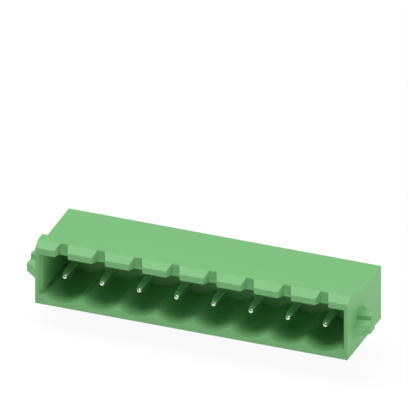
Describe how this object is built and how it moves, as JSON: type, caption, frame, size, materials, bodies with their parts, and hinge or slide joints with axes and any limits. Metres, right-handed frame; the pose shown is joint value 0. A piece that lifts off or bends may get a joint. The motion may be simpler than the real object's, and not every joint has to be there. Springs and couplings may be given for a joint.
{
  "type": "terminal block header",
  "caption": "Horizontal circuit board header with an open plug bay, bent square contact pins, a keyed lip, a latch rim along the deck and a latch lug on each end.",
  "frame": {"origin": "middle of the row of solder legs, on the face of the housing that sits on the board", "axes": "+X along the row of contacts, -Y out of the mouth that takes the plug, +Z away from the board"},
  "size_m": [0.047, 0.012, 0.0122],
  "materials": {
    "green_plastic": "moulded, light green, fine satin",
    "tin_plate": "copper alloy with bright tin plating"
  },
  "bodies": {
    "root": {"housing": "green_plastic", "pin_1": "tin_plate", "pin_2": "tin_plate", "pin_3": "tin_plate", "pin_4": "tin_plate", "pin_5": "tin_plate", "pin_6": "tin_plate", "pin_7": "tin_plate", "pin_8": "tin_plate"}
  },
  "joints": []
}
